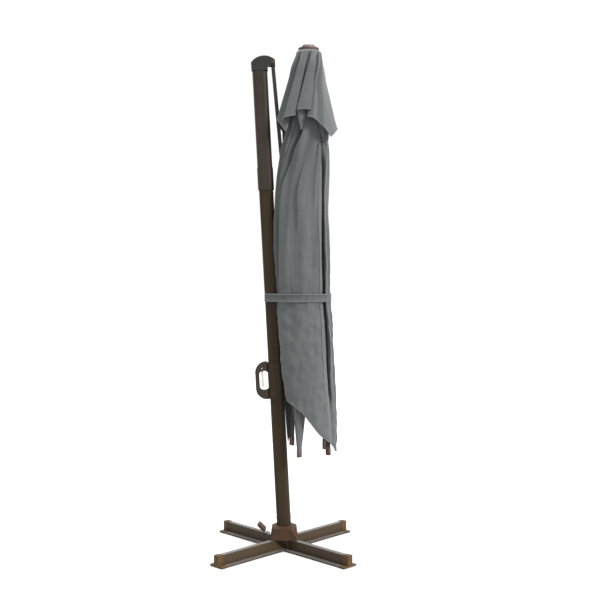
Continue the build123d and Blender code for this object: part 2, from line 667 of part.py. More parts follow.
finish(
    cylinder_across(mast_side, lever_pivot, screw_radius, 0.5 - GRIP_HALF_DEPTH, GRIP_HALF_DEPTH - 0.5),
    "lever_pin",
)
lever_width = 12.0
with BuildPart() as squeeze_lever:
    with BuildSketch(mast_side.offset(-lever_half_depth + 1)):
        with Locations((lever_pivot[0], grip_middle + 8)):
            RectangleRounded(lever_width, GRIP_HOLE_HEIGHT - 14, 5)
        with Locations((lever_pivot[0], lever_pivot[1] - 10)):
            Rectangle(lever_width, 24)
        with Locations(lever_pivot):
            Circle(7)
            Circle(screw_radius + RUNNING_FIT, mode=Mode.SUBTRACT)
    extrude(amount=2 * lever_half_depth - 2)
finish(squeeze_lever.part, "squeeze_lever")

# ---------------------------------------------------------------- canopy frame
finish(
    (
        Pos(CANOPY_X, 0, (POLE_BOTTOM + POLE_TOP) / 2)
        * (
            Cylinder(POLE_RADIUS, POLE_TOP - POLE_BOTTOM)
            - Cylinder(POLE_RADIUS - POLE_WALL, POLE_TOP - POLE_BOTTOM)
        )
    ),
    "canopy_pole",
)

hanger_inside, hanger_thick, hanger_ring = 17.0, 5.0, 24.0
hanger_height = 60.0
pivot_x, pivot_z = canopy_pivot.X, canopy_pivot.Z
with BuildPart() as canopy_hanger:
    for side in (1, -1):
        with BuildSketch(Plane.XZ.offset(side * hanger_inside)):
            with Locations((pivot_x, pivot_z)):
                Circle(lug_radius)
            with Locations((CANOPY_X - 6, pivot_z)):
                Rectangle(20, hanger_height)
            make_hull()
        extrude(amount=side * hanger_thick)
    with BuildSketch(Plane.XY.offset(pivot_z - hanger_height / 2)):
        with Locations((CANOPY_X, 0)):
            Circle(hanger_ring)
    extrude(amount=hanger_height)
    with BuildSketch(Plane.XY.offset(pivot_z - hanger_height)):
        with Locations((CANOPY_X, 0)):
            Circle(POLE_RADIUS + RUNNING_FIT)
    extrude(amount=2 * hanger_height, mode=Mode.SUBTRACT)
    with BuildSketch(Plane.XZ.offset(-hanger_ring)):
        with Locations((pivot_x, pivot_z)):
            Circle(PIN_RADIUS + RUNNING_FIT)
    extrude(amount=2 * hanger_ring, mode=Mode.SUBTRACT)
finish(canopy_hanger.part, "canopy_hanger")
finish(pivot_bolt(Plane.XZ, (pivot_x, pivot_z), hanger_inside + hanger_thick), "canopy_pivot_bolt")

EIGHTHS = [45.0 * number for number in range(8)]
slot_width = RIB_THICK + 1.0
with BuildPart() as crown:
    with BuildSketch(Plane.XY.offset(CROWN_BOTTOM)):
        with Locations((CANOPY_X, 0)):
            Circle(CROWN_RADIUS)
            with PolarLocations(RIB_HEAD_RADIUS, 8):
                Rectangle(24, slot_width, mode=Mode.SUBTRACT)
    extrude(amount=CROWN_TOP - CROWN_BOTTOM)
    with BuildSketch(Plane.XY.offset(CROWN_BOTTOM)):
        with Locations((CANOPY_X, 0)):
            Circle(POLE_RADIUS + RUNNING_FIT)
    extrude(amount=POLE_TOP - CROWN_BOTTOM, mode=Mode.SUBTRACT)
finish(crown.part, "crown")

corner_tips = {
    45: (218.0, 70.0, 514.0),
    135: (40.0, 72.0, 534.0),
    225: (80.0, -84.0, 500.0),
    315: (232.0, -56.0, 506.0),
}
side_tip_radius, side_tip_z = 62.0, 1108.0
tip_length = 46.0
CORNER_NAMES = {45: "outer_rear", 135: "inner_rear", 225: "inner_front", 315: "outer_front"}


def rib_plane(angle):
    """The plane at a rib's hinge whose normal runs down the rib, and the rib's length."""
    dx, dy = turned(1, 0, angle)
    head = Vector(CANOPY_X + RIB_HEAD_RADIUS * dx, RIB_HEAD_RADIUS * dy, RIB_HEAD_Z)
    if angle in corner_tips:
        tip = Vector(*corner_tips[angle])
    else:
        tip = Vector(CANOPY_X + side_tip_radius * dx, side_tip_radius * dy, side_tip_z)
    return Plane(origin=head, x_dir=(dx, dy, 0), z_dir=tip - head), (tip - head).length


def rib_part(angle):
    """One rib: a square tube with a hinge hole at its head."""
    plane, length = rib_plane(angle)
    with BuildPart() as rib:
        with BuildSketch(plane.offset(-6)):
            Rectangle(RIB_WIDTH, RIB_THICK)
            Rectangle(RIB_WIDTH - 2 * RIB_WALL, RIB_THICK - 2 * RIB_WALL, mode=Mode.SUBTRACT)
        extrude(amount=length - tip_length / 2 + 6)
        with BuildSketch(Plane(plane.origin - 10 * plane.y_dir, x_dir=plane.x_dir, z_dir=plane.y_dir)):
            Circle(2.55)
        extrude(amount=20, mode=Mode.SUBTRACT)
    return rib.part


def rib_end(angle):
    """The plastic shoe on a rib's lower end."""
    plane, length = rib_plane(angle)
    with BuildPart() as shoe:
        with BuildSketch(plane.offset(length - tip_length)):
            RectangleRounded(RIB_WIDTH + 5, RIB_THICK + 5, 4)
        extrude(amount=tip_length)
        with BuildSketch(plane.offset(length - tip_length)):
            Rectangle(RIB_WIDTH + 0.1, RIB_THICK + 0.1)
        extrude(amount=tip_length / 2 + 0.2, mode=Mode.SUBTRACT)
    return shoe.part


def hinge_pins(places):
    """Short pins across the given planes."""
    with BuildPart() as pins:
        for plane, radius, half_length in places:
            with BuildSketch(Plane(plane.origin - half_length * plane.y_dir, plane.x_dir, plane.y_dir)):
                Circle(radius)
            extrude(amount=2 * half_length)
    return pins.part


for angle, name in CORNER_NAMES.items():
    finish(rib_part(angle), f"rib_corner_{name}")
finish(Compound(children=[rib_part(angle) for angle in EIGHTHS if angle not in corner_tips]), "ribs_side")
finish(Compound(children=[rib_end(angle) for angle in EIGHTHS]), "rib_shoes")
finish(hinge_pins([(rib_plane(angle)[0], 2.5, RIB_THICK / 2) for angle in EIGHTHS]), "rib_hinge_pins")

# The runner slides on the pole, and its stretchers lie between the pole and the ribs when folded
with BuildPart() as runner:
    with BuildSketch(Plane.XY.offset(RUNNER_Z - 20)):
        with Locations((CANOPY_X, 0)):
            Circle(RUNNER_RADIUS)
            with PolarLocations(RUNNER_RADIUS, 8):
                Rectangle(12, STRETCHER_THICK + 1, mode=Mode.SUBTRACT)
            Circle(POLE_RADIUS + 0.1, mode=Mode.SUBTRACT)
    extrude(amount=36)
finish(runner.part, "runner")


def stretcher_plane(angle):
    """The plane at the runner whose normal runs up a stretcher to its rib, and its length."""
    dx, dy = turned(1, 0, angle)
    foot = Vector(CANOPY_X + (RUNNER_RADIUS + 0.5) * dx, (RUNNER_RADIUS + 0.5) * dy, RUNNER_Z)
    rib, length = rib_plane(angle)
    along = (RIB_HEAD_Z - STRETCHER_TOP_Z) / -rib.z_dir.Z
    head = rib.origin + along * rib.z_dir - (RIB_WIDTH / 2 + 9) * Vector(dx, dy, 0)
    return Plane(origin=foot, x_dir=(dx, dy, 0), z_dir=head - foot), (head - foot).length


def stretcher_part(angle):
    """One stretcher: a flat bar from the runner to its rib."""
    plane, length = stretcher_plane(angle)
    with BuildPart() as bar:
        with BuildSketch(plane.offset(-5)):
            Rectangle(STRETCHER_WIDTH, STRETCHER_THICK)
        extrude(amount=length + 10)
    return bar.part


def stretcher_clip(angle):
    """The bracket between a stretcher's head and its rib."""
    plane, length = stretcher_plane(angle)
    dx, dy = turned(1, 0, angle)
    rib = rib_plane(angle)[0]
    with BuildPart() as clip:
        for side in (1, -1):
            with BuildSketch(rib.offset((RIB_HEAD_Z - STRETCHER_TOP_Z) / -rib.z_dir.Z - 12)):
                with Locations((-9, side * (RIB_THICK / 2 + 1.1))):
                    Rectangle(RIB_WIDTH + 12, 1.8)
            extrude(amount=24)
    return clip.part


finish(Compound(children=[stretcher_part(angle) for angle in EIGHTHS]), "stretchers")
finish(Compound(children=[stretcher_clip(angle) for angle in EIGHTHS]), "stretcher_clips")

# ---------------------------------------------------------------- top and cloth
VENT_TOP = 2619.0
ring_radius, dome_radius, dome_top = 54.0, 36.0, 2650.0
with BuildPart() as finial_ring:
    with BuildSketch(Plane.XY.offset(VENT_TOP + 0.5)):
        with Locations((CANOPY_X, 0)):
            Circle(ring_radius)
    extrude(amount=13)
    fillet(finial_ring.faces().sort_by(Axis.Z)[-1].edges(), 4)
finish(finial_ring.part, "finial_ring")
finial_base = VENT_TOP + 13.5
with BuildPart() as finial:
    with BuildSketch(Plane.XY.offset(finial_base)):
        with Locations((CANOPY_X, 0)):
            Circle(dome_radius)
    extrude(amount=dome_top - finial_base)
    fillet(finial.faces().sort_by(Axis.Z)[-1].edges(), 14)
finish(finial.part, "finial")

# Each cloth section is (height, centre in x, half width in x, half depth in y)
MAIN_SECTIONS = (
    (2570, 129, 60, 60),
    (2400, 115, 86, 80),
    (2235, 107, 120, 95),
    (2097, 96, 141, 104),
    (1887, 92, 144, 110),
    (1571, 91, 148, 114),
    (1330, 102, 147, 116),
    (1200, 105, 153, 120),
    (950, 124, 142, 124),
    (780, 128, 146, 124),
    (480, 158, 126, 124),
)
VENT_SECTIONS = ((VENT_TOP, 129, 54, 54), (2560, 128, 72, 72), (2400, 124, 112, 104), (2235, 121, 150, 134))


def cloth_shell(sections):
    """A thin closed solid around stacked ellipses, open at its foot and above the arm's channel."""
    bodies = []
    for inset in (0, CLOTH_WALL):
        with BuildPart() as form:
            for height, centre, half_width, half_depth in sections:
                with BuildSketch(Plane.XY.offset(height)):
                    with Locations((centre, 0)):
                        Ellipse(half_width - inset, half_depth - inset)
            loft(ruled=True)
        bodies.append(form.part)
    return bodies[0] - bodies[1]


channel_right = 60.0
hem_left, hem_right = (21.0, 783.0), (283.0, 525.0)
with BuildPart() as main_canopy:
    add(cloth_shell(MAIN_SECTIONS))
    with BuildSketch(Plane.XZ.offset(-ARM_CHANNEL / 2)):
        with Locations((channel_right - 200, 1600)):
            Rectangle(400, 2400)
    extrude(amount=ARM_CHANNEL, mode=Mode.SUBTRACT)
    with BuildSketch(Plane.XZ.offset(-400)):
        drop = (hem_right[1] - hem_left[1]) / (hem_right[0] - hem_left[0])
        left, right = -200.0, 500.0
        Polygon(
            (left, hem_left[1] + drop * (left - hem_left[0])),
            (right, hem_left[1] + drop * (right - hem_left[0])),
            (right, 0),
            (left, 0),
            align=None,
        )
    extrude(amount=800, mode=Mode.SUBTRACT)
finish(main_canopy.part, "main_canopy")

with BuildPart() as vent_canopy:
    add(cloth_shell(VENT_SECTIONS))
    with BuildSketch(Plane.XZ.offset(-ARM_CHANNEL / 2)):
        with Locations((channel_right - 200, 2200)):
            Rectangle(400, 480)
    extrude(amount=ARM_CHANNEL, mode=Mode.SUBTRACT)
finish(vent_canopy.part, "vent_canopy")

strap_middle = (STRAP_BOTTOM + STRAP_TOP) / 2
mast_at_strap = -math.tan(lean) * (strap_middle - MAST_KNEE_Z)
strap_room = 1.6
with BuildPart() as strap:
    for inset, mode in ((STRAP_THICK, Mode.ADD), (0, Mode.SUBTRACT)):
        with BuildSketch(Plane.XY.offset(STRAP_BOTTOM)):
            with Locations((102.5, 0)):
                Ellipse(148.5 + strap_room + inset, 117.0 + strap_room + inset)
            with Locations((mast_at_strap, 0)):
                RectangleRounded(
                    LOWER_WIDTH + 2 * (strap_room + inset),
                    LOWER_DEPTH + 2 * (strap_room + inset),
                    MAST_CORNER + strap_room + inset,
                )
            make_hull()
        extrude(amount=STRAP_TOP - STRAP_BOTTOM, mode=mode)
finish(strap.part, "strap")
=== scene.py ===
import math

import bpy
import numpy as np
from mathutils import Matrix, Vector, noise


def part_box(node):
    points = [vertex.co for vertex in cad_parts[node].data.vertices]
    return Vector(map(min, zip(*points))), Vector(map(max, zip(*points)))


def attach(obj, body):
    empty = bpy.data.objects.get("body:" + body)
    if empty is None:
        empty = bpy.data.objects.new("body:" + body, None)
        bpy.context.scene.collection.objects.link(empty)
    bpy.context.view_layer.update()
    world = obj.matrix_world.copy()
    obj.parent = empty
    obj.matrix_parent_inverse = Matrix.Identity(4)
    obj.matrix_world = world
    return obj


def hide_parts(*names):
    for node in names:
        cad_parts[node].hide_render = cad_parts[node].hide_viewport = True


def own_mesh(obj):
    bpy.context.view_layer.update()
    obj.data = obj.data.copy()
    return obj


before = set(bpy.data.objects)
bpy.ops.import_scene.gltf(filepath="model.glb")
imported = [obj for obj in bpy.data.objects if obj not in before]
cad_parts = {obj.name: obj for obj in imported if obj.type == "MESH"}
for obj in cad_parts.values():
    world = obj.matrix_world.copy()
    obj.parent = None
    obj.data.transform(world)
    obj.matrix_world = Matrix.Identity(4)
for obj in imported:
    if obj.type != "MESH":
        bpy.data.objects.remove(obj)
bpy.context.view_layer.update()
MM = 0.001

# ---------------------------------------------------------------- camera
camera = bpy.data.objects.new("camera", bpy.data.cameras.new("camera"))
camera.data.lens = 59.6
camera.data.sensor_width = 36.0
camera.location = (0.084, -5.226, 1.542)
camera.rotation_euler = (math.radians(90 - 1.78), 0, 0)
camera.data.shift_y = -0.0202
bpy.context.collection.objects.link(camera)
bpy.context.scene.camera = camera


# ---------------------------------------------------------------- materials
# The Mix node's sockets for colours, which share their names with those for numbers
MIX_COLOR_A, MIX_COLOR_B, MIX_COLOR_OUT = 6, 7, 2


class Nodes:
    """A material's node tree, with short helpers for the few node kinds that the looks use."""

    def __init__(self, name, roughness, metallic=0.0, specular=0.5):
        self.material = bpy.data.materials.new(name)
        self.material.use_nodes = True
        self.tree = self.material.node_tree
        self.bsdf = self.tree.nodes["Principled BSDF"]
        self.bsdf.inputs["Roughness"].default_value = roughness
        self.bsdf.inputs["Metallic"].default_value = metallic
        self.bsdf.inputs["Specular IOR Level"].default_value = specular

    def link(self, output, target):
        self.tree.links.new(output, target)

    def coords(self, stretch=(1, 1, 1), kind="Object"):
        source = self.tree.nodes.new("ShaderNodeTexCoord")
        mapping = self.tree.nodes.new("ShaderNodeMapping")
        mapping.inputs["Scale"].default_value = stretch
        self.link(source.outputs[kind], mapping.inputs["Vector"])
        return mapping.outputs["Vector"]

    def noise(self, scale, detail=3.0, stretch=(1, 1, 1), kind="Object"):
        node = self.tree.nodes.new("ShaderNodeTexNoise")
        node.inputs["Scale"].default_value = scale
        node.inputs["Detail"].default_value = detail
        self.link(self.coords(stretch, kind), node.inputs["Vector"])
        return node.outputs["Fac"]

    def waves(self, scale, direction, kind="UV"):
        node = self.tree.nodes.new("ShaderNodeTexWave")
        node.bands_direction = direction
        node.inputs["Scale"].default_value = scale
        node.inputs["Distortion"].default_value = 0.4
        self.link(self.coords(kind=kind), node.inputs["Vector"])
        return node.outputs["Fac"]

    def maths(self, operation, first, second):
        node = self.tree.nodes.new("ShaderNodeMath")
        node.operation = operation
        for socket, value in zip(node.inputs, (first, second)):
            if isinstance(value, (int, float)):
                socket.default_value = value
            else:
                self.link(value, socket)
        return node.outputs["Value"]

    def ramp(self, fac, stops):
        node = self.tree.nodes.new("ShaderNodeValToRGB")
        ramp = node.color_ramp
        while len(ramp.elements) < len(stops):
            ramp.elements.new(0.5)
        for element, (position, color) in zip(ramp.elements, stops):
            element.position = position
            element.color = (*color, 1.0)
        self.link(fac, node.inputs["Fac"])
        return node.outputs["Color"]

    def mix(self, fac, first, second):
        node = self.tree.nodes.new("ShaderNodeMix")
        node.data_type = "RGBA"
        self.link(fac, node.inputs["Factor"])
        for socket, value in ((node.inputs[MIX_COLOR_A], first), (node.inputs[MIX_COLOR_B], second)):
            if isinstance(value, tuple):
                socket.default_value = (*value, 1.0)
            else:
                self.link(value, socket)
        return node.outputs[MIX_COLOR_OUT]

    def edges(self):
        """Bright on convex edges: where paint wears first, and where painted highlights and glints are put.
        """
        node = self.tree.nodes.new("ShaderNodeNewGeometry")
        return node.outputs["Pointiness"]

    def upward(self):
        """One on faces that look up and zero on upright faces; it places a painted highlight on tops."""
        geometry = self.tree.nodes.new("ShaderNodeNewGeometry")
        parts = self.tree.nodes.new("ShaderNodeSeparateXYZ")
        self.link(geometry.outputs["Normal"], parts.inputs["Vector"])
        return self.ramp(parts.outputs["Z"], ((0.35, (0, 0, 0)), (0.8, (1, 1, 1))))

    def color(self, output):
        self.link(output, self.bsdf.inputs["Base Color"])

    def roughness(self, fac, low, high):
        node = self.tree.nodes.new("ShaderNodeMapRange")
        node.inputs["To Min"].default_value = low
        node.inputs["To Max"].default_value = high
        self.link(fac, node.inputs["Value"])
        self.link(node.outputs["Result"], self.bsdf.inputs["Roughness"])

    def bump(self, height, distance, strength=0.6):
        node = self.tree.nodes.new("ShaderNodeBump")
        node.inputs["Distance"].default_value = distance
        node.inputs["Strength"].default_value = strength
        self.link(height, node.inputs["Height"])
        self.link(node.outputs["Normal"], self.bsdf.inputs["Normal"])


def shade(color, factor):
    return tuple(channel * factor for channel in color)


def coated_metal(
    name, color, grain=900.0, rough=(0.34, 0.5), metallic=0.35, streak=(1, 1, 0.02), specular=0.28, top_highlight=None
):
    """Powder-coated metal: fine orange peel, long faint streaks, edges scuffed paler and, if given, a
    painted highlight on faces that look up.
    """
    m = Nodes(name, 0.42, metallic, specular)
    streaks = m.noise(90.0, 4.0, streak)
    patches = m.noise(5.0, 3.0)
    body = m.ramp(m.maths("ADD", m.maths("MULTIPLY", streaks, 0.6), m.maths("MULTIPLY", patches, 0.4)), (
        (0.3, shade(color, 0.78)),
        (0.7, shade(color, 1.22)),
    ))
    pale_edges = m.ramp(m.edges(), ((0.5, (0, 0, 0)), (0.62, (1, 1, 1))))
    painted = m.mix(m.maths("MULTIPLY", pale_edges, 0.25), body, shade(color, 2.1))
    if top_highlight:
        thin_to_full = ((0.25, (0.6, 0.6, 0.6)), (0.6, (1, 1, 1)))
        # painted highlight: faces that look up are painted paler, in patches
        top_highlight_mask = m.maths("MULTIPLY", m.upward(), m.ramp(m.noise(30.0, 4.0), thin_to_full))
        painted = m.mix(top_highlight_mask, painted, top_highlight)
    m.color(painted)
    m.roughness(patches, *rough)
    m.bump(m.noise(grain, 2.0), 0.0002, 0.35)
    return m.material


def moulded_plastic(name, color, rough=(0.42, 0.6), grain=1400.0, specular=0.3, edge_wear_and_highlight=0.3, mottle=0.2):
    """Moulded plastic: fine spark-eroded grain, faint mottling and paler edges, partly scuffing and partly a
    painted highlight.
    """
    m = Nodes(name, 0.5, 0.0, specular)
    mottling = m.noise(22.0, 5.0)
    body = m.ramp(mottling, ((0.3, shade(color, 1.0 - mottle)), (0.72, shade(color, 1.0 + mottle))))
    # paler edges: partly scuffing, partly a painted highlight along the edges
    pale_edges = m.ramp(m.edges(), ((0.51, (0, 0, 0)), (0.64, (1, 1, 1))))
    m.color(m.mix(m.maths("MULTIPLY", pale_edges, edge_wear_and_highlight), body, shade(color, 1.9)))
    m.roughness(mottling, *rough)
    m.bump(m.noise(grain, 2.0), 0.00025, 0.4)
    return m.material


def glinting_plastic(name, color, glint):
    """Dark plastic with painted copper-brown glints, in patches and along its edges."""
    m = Nodes(name, 0.4, 0.0, 0.35)
    # painted copper-brown glints, in noise patches and on the edges
    glint_patches = m.ramp(m.noise(60.0, 4.0, (1, 1, 0.5)), ((0.54, (0, 0, 0)), (0.62, (1, 1, 1))))
    pale_edges = m.ramp(m.edges(), ((0.56, (0, 0, 0)), (0.7, (1, 1, 1))))
    m.color(m.mix(m.maths("MAXIMUM", glint_patches, pale_edges), color, glint))
    m.roughness(glint_patches, 0.5, 0.28)
    m.bump(m.noise(700.0, 3.0), 0.0003, 0.4)
    return m.material


def bare_metal(name, color, rough=(0.22, 0.42)):
    """Bright metal with turned or drawn marks and light tarnish."""
    m = Nodes(name, 0.3, 0.9)
    marks = m.noise(260.0, 3.0, (1, 1, 0.15))
    tarnish = m.noise(38.0, 4.0)
    m.color(m.ramp(tarnish, ((0.35, shade(color, 0.7)), (0.65, color))))
    m.roughness(marks, *rough)
    m.bump(marks, 0.0001, 0.3)
    return m.material


WAVE_TURN = 6.28  # the wave texture's scale counts in turns of this many


def cloth(name, color, threads_per_metre=2600.0):
    """Polyester canvas: plain weave, slubs, soft sun-bleached patches and a little sheen."""
    m = Nodes(name, 0.86, 0.0, 0.2)
    m.bsdf.inputs["Sheen Weight"].default_value = 0.18
    m.bsdf.inputs["Sheen Roughness"].default_value = 0.5
    warp = m.waves(threads_per_metre / WAVE_TURN, "X")
    weft = m.waves(threads_per_metre / WAVE_TURN, "Y")
    threads = m.maths("MULTIPLY", warp, weft)
    slubs = m.noise(420.0, 2.0, (1.0, 0.12, 1.0), "UV")
    bleach = m.noise(3.2, 4.0)
    tone = m.maths("ADD", m.maths("MULTIPLY", bleach, 0.65), m.maths("MULTIPLY", slubs, 0.35))
    body = m.ramp(tone, (
        (0.32, shade(color, 0.84)),
        (0.5, color),
        (0.7, (color[0] * 1.16, color[1] * 1.12, color[2] * 1.05)),
    ))
    m.color(m.mix(m.maths("MULTIPLY", threads, 0.22), body, shade(color, 0.62)))
    m.bump(m.maths("ADD", m.maths("MULTIPLY", threads, 0.6), slubs), 0.0004, 0.45)
    return m.material


CLOTH_GREY = (0.0715, 0.0768, 0.0780)
LOOKS = {
    "mast": coated_metal("mast_coating", (0.019, 0.0125, 0.006), 900.0, (0.38, 0.5), 0.0, specular=0.12),
    "mast_upper": coated_metal("upper_mast_coating", (0.0195, 0.0150, 0.0110), 900.0, (0.3, 0.42), 0.25),
    "legs": coated_metal(
        "leg_paint", (0.034, 0.023, 0.013), 700.0, (0.24, 0.36), 0.0, (1, 1, 1), 0.14,
        # painted highlight on the legs' upward faces
        top_highlight=(0.082, 0.078, 0.077),
    ),
    "frame": coated_metal("frame_coating", (0.013, 0.010, 0.0075), 900.0, (0.36, 0.5), 0.0),
    "zinc": bare_metal("zinc_plate", (0.55, 0.58, 0.6)),
    "brass": bare_metal("brass", (0.11, 0.062, 0.035), (0.35, 0.5)),
    "copper": bare_metal("copper_screw", (0.085, 0.032, 0.022), (0.35, 0.5)),
    # very dark: partly the steel's own dark finish, partly painted shade for the hollow under the base cover
    "dark_steel": bare_metal("dark_steel", (0.012, 0.011, 0.010), (0.5, 0.65)),
    "cap": moulded_plastic("cap_plastic", (0.0115, 0.011, 0.0095)),
    "handle": moulded_plastic("handle_plastic", (0.015, 0.011, 0.008), (0.3, 0.45)),
    "black": moulded_plastic("black_plastic", (0.014, 0.013, 0.012)),
    "cover": moulded_plastic("cover_plastic", (0.037, 0.0175, 0.0095), specular=0.14),
    "tan": moulded_plastic("end_cap_plastic", (0.052, 0.029, 0.012), specular=0.16),
    "ring": moulded_plastic("ring_plastic", (0.060, 0.028, 0.018)),
    "finial": moulded_plastic("finial_plastic", (0.115, 0.107, 0.098), (0.3, 0.45), edge_wear_and_highlight=0.04, mottle=0.05),
    "lever": moulded_plastic("lever_plastic", (0.34, 0.32, 0.28)),
    "nylon": moulded_plastic("nylon", (0.62, 0.60, 0.55)),
    "shoe": glinting_plastic("shoe_plastic", (0.012, 0.008, 0.006), (0.11, 0.042, 0.018)),
    "cloth": cloth("canopy_cloth", CLOTH_GREY),
    # the hem's cloth is painted lighter than the canopy: a painted highlight along the rolled hems and the
    # strap's edge rolls
    "hem": cloth("hem_cloth", shade(CLOTH_GREY, 1.35)),
    "strap": cloth("strap_webbing", shade(CLOTH_GREY, 0.92), 1500.0),
}
NODE_LOOKS = {
    "mast": ("lower_mast", "mast_inner_sleeve", "arm_tube", "canopy_pole", "slider_body"),
    "mast_upper": ("upper_mast", "mast_collar"),
    "legs": ("leg_long", "leg_half_front", "leg_half_rear"),
    "frame": (
        "strut_front", "strut_rear", "swivel_socket", "canopy_hanger", "arm_foot", "arm_head", "ribs_side",
        "rib_corner_inner_front", "rib_corner_inner_rear", "rib_corner_outer_front", "rib_corner_outer_rear",
        "stretchers", "stretcher_clips",
    ),
    "zinc": (
        "pedal_arm", "pedal_pin", "elbow_bolt",
        "slider_bolt", "canopy_pivot_bolt", "mast_screws", "lever_pin", "rib_hinge_pins",
    ),
    "brass": ("cap_pivot_bolt",),
    # partly painted shade for the hollow under the base cover
    "dark_steel": ("base_fasteners", "swivel_spigot", "brake_ring"),
    "copper": ("grip_fasteners",),
    "cap": ("mast_cap",),
    "handle": ("grip_front_shell", "grip_rear_shell"),
    # base_plate is black, partly painted shade for the hollow under the base cover
    "black": ("crown", "runner", "brake_shoe", "cap_spacer", "base_plate"),
    "shoe": ("rib_shoes",),
    "cover": ("base_cover", "pedal_pad"),
    "tan": ("leg_end_caps",),
    "ring": ("finial_ring",),
    "finial": ("finial",),
    "lever": ("squeeze_lever",),
    "nylon": ("thrust_washer", "swivel_bushes", "elbow_bush", "elbow_washers", "slider_guides"),
}
for look, names in NODE_LOOKS.items():
    for name in names:
        for slot in bpy.data.objects[name].material_slots:
            slot.material = LOOKS[look]


# ---------------------------------------------------------------- the folded cloth's shape
# (height, centre in x, half width, half depth) of the bundle, in millimetres
SECTIONS = np.array([
    (2600, 129, 55, 55),
    (2400, 117, 84, 78),
    (2235, 108, 118, 95),
    (2097, 98, 140, 104),
    (1887, 94, 143, 110),
    (1571, 94, 146, 113),
    (1413, 101, 143, 112),
    (1330, 102, 142, 109),
    (1200, 106, 151, 117),
    (950, 122, 146, 122),
    (780, 131, 145, 122),
    (480, 158, 128, 122),
])[::-1]


def section(z):
    """The bundle's centre, half width and half depth at a height."""
    return [float(np.interp(z, SECTIONS[:, 0], SECTIONS[:, k])) for k in (1, 2, 3)]


def on_bundle(degrees, inset, z):
    """A point at an angle round the bundle, inset from its outer form."""
    centre, half_width, half_depth = section(z)
    angle = math.radians(degrees)
    return Vector((
        (centre + (half_width - inset) * math.cos(angle)) * MM,
        (half_depth - inset) * math.sin(angle) * MM,
        z * MM,
    ))


def spline(values, at):
    """Catmull-Rom through rows of values, at a fraction from 0 to 1."""
    last = len(values) - 1
    place = min(max(at, 0.0), 1.0) * last
    i = min(int(place), last - 1)
    t = place - i
    a, b, c, d = (values[min(max(k, 0), last)] for k in (i - 1, i, i + 1, i + 2))
    return 0.5 * (2 * b + (c - a) * t + (2 * a - 5 * b + 4 * c - d) * t * t + (3 * b - a - 3 * c + d) * t**3)


def key_at(keys, z):
    """The control points at a height, smoothly between keys of (height, control points), highest first."""
    heights = [key[0] for key in keys]
    rows = [np.array(key[1], float) for key in keys]
    if z >= heights[0]:
        return rows[0]
    if z <= heights[-1]:
        return rows[-1]
    i = next(k for k in range(len(heights) - 1) if heights[k + 1] <= z)
    span = heights[i + 1] - heights[i]
    t = (z - heights[i]) / span

    def slope(k):
        low, high = max(k - 1, 0), min(k + 1, len(rows) - 1)
        return (rows[high] - rows[low]) / (heights[high] - heights[low]) * span

    return (
        rows[i] * (2 * t**3 - 3 * t**2 + 1)
        + slope(i) * (t**3 - 2 * t**2 + t)
        + rows[i + 1] * (3 * t**2 - 2 * t**3)
        + slope(i + 1) * (t**3 - t**2)
    )


def grid_mesh(name, points, material, widths, thickness=0.0013):
    """A sheet from rows of points, with a UV map in metres, a real thickness and smooth shading."""
    rows, columns = len(points), len(points[0])
    mesh = bpy.data.meshes.new(name)
    faces = [
        (r * columns + c, r * columns + c + 1, (r + 1) * columns + c + 1, (r + 1) * columns + c)
        for r in range(rows - 1)
        for c in range(columns - 1)
    ]
    mesh.from_pydata([p for row in points for p in row], [], faces)
    layer = mesh.uv_layers.new(name="UVMap")
    for loop in mesh.loops:
        r, c = divmod(loop.vertex_index, columns)
        layer.data[loop.index].uv = (widths[c], points[r][c].z)
    mesh.materials.append(material)
    for polygon in mesh.polygons:
        polygon.use_smooth = True
    piece = bpy.data.objects.new(name, mesh)
    bpy.context.collection.objects.link(piece)
    solid = piece.modifiers.new("thickness", "SOLIDIFY")
    solid.thickness = thickness
    solid.offset = 0.0
    return piece


def lengths_along(line):
    """How far along a line of points each one is."""
    lengths = [0.0]
    for first, second in zip(line, line[1:]):
        lengths.append(lengths[-1] + (second - first).length)
    return lengths


def crumple(point, fine, broad):
    """Soft creases: a push in or out, in metres, that depends on the place."""
    slanted = point.x - 0.13 * point.z
    long_folds = noise.noise(Vector((slanted * 19, point.y * 19, point.z * 1.9 + 7.0)))
    creases = noise.noise(Vector((slanted * 40 + 3.0, point.y * 40, point.z * 13)))
    upper = min(1.0, max(0.0, (point.z - 1.35) / 0.45))
    mottle = noise.noise(Vector((point.x * 27, point.y * 27 + 9.0, point.z * 25)))
    return broad * (1.0 + 2.6 * upper) * long_folds + fine * (creases + 1.5 * (1.0 - upper) * mottle)


def gathers(degrees, z):
    """Small upright puckers just above and below the strap."""
    near = math.exp(-(((z - STRAP_Z) / 75.0) ** 2))
    return 2.6 * near * noise.noise(Vector((degrees * 0.16, z * 0.004, 2.0)))


def edging(name, line, radius=0.0026):
    """A stitched hem: a thin rounded roll that follows an edge of the cloth."""
    curve = bpy.data.curves.new(name, "CURVE")
    curve.dimensions = "3D"
    curve.bevel_depth = radius
    curve.bevel_resolution = 2
    track = curve.splines.new("POLY")
    track.points.add(len(line) - 1)
    for point, place in zip(track.points, line):
        point.co = (*place, 1.0)
    guide = bpy.data.objects.new(name + "_guide", curve)
    mesh = bpy.data.meshes.new_from_object(guide)
    bpy.data.objects.remove(guide)
    mesh.name = name
    mesh.materials.clear()
    # its cloth is painted lighter, a painted highlight along the roll
    mesh.materials.append(LOOKS["hem"])
    piece = bpy.data.objects.new(name, mesh)
    bpy.context.collection.objects.link(piece)
    return piece


def dress(piece, points):
    """Rides a cloth sheet on the canopy with its hem."""
    hem_roll = edging(piece.name + "_hem", points[-1])
    for each in (piece, hem_roll):
        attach(each, "canopy")


